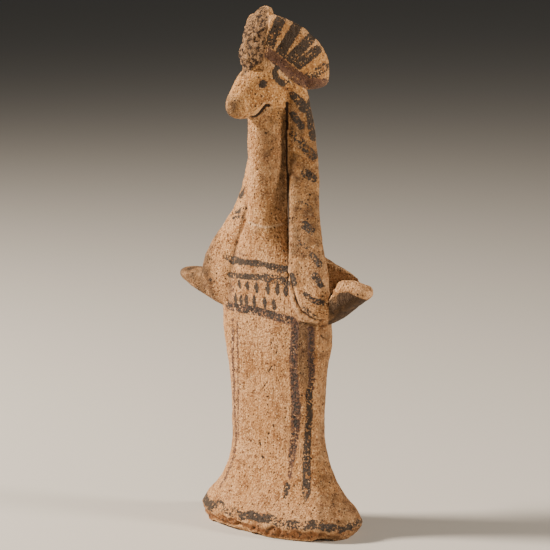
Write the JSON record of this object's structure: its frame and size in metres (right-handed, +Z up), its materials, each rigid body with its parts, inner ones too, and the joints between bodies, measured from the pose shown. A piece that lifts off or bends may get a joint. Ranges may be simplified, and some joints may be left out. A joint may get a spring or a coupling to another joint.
{
  "type": "terracotta idol",
  "caption": "Hand-modelled, painted terracotta idol of a standing woman with a bird-like face, winglike arms, long neck, hanging locks and a leaning headdress.",
  "frame": {"origin": "under the middle of the foot, on the plane it stands on", "axes": "+Z up, -Y the way the figure faces, +X towards the figure's left"},
  "size_m": [0.1132, 0.0555, 0.24],
  "materials": {
    "fired_clay": "matt, porous, with worn dark slip paint"
  },
  "bodies": {
    "root": {"idol": "fired_clay"}
  },
  "joints": []
}
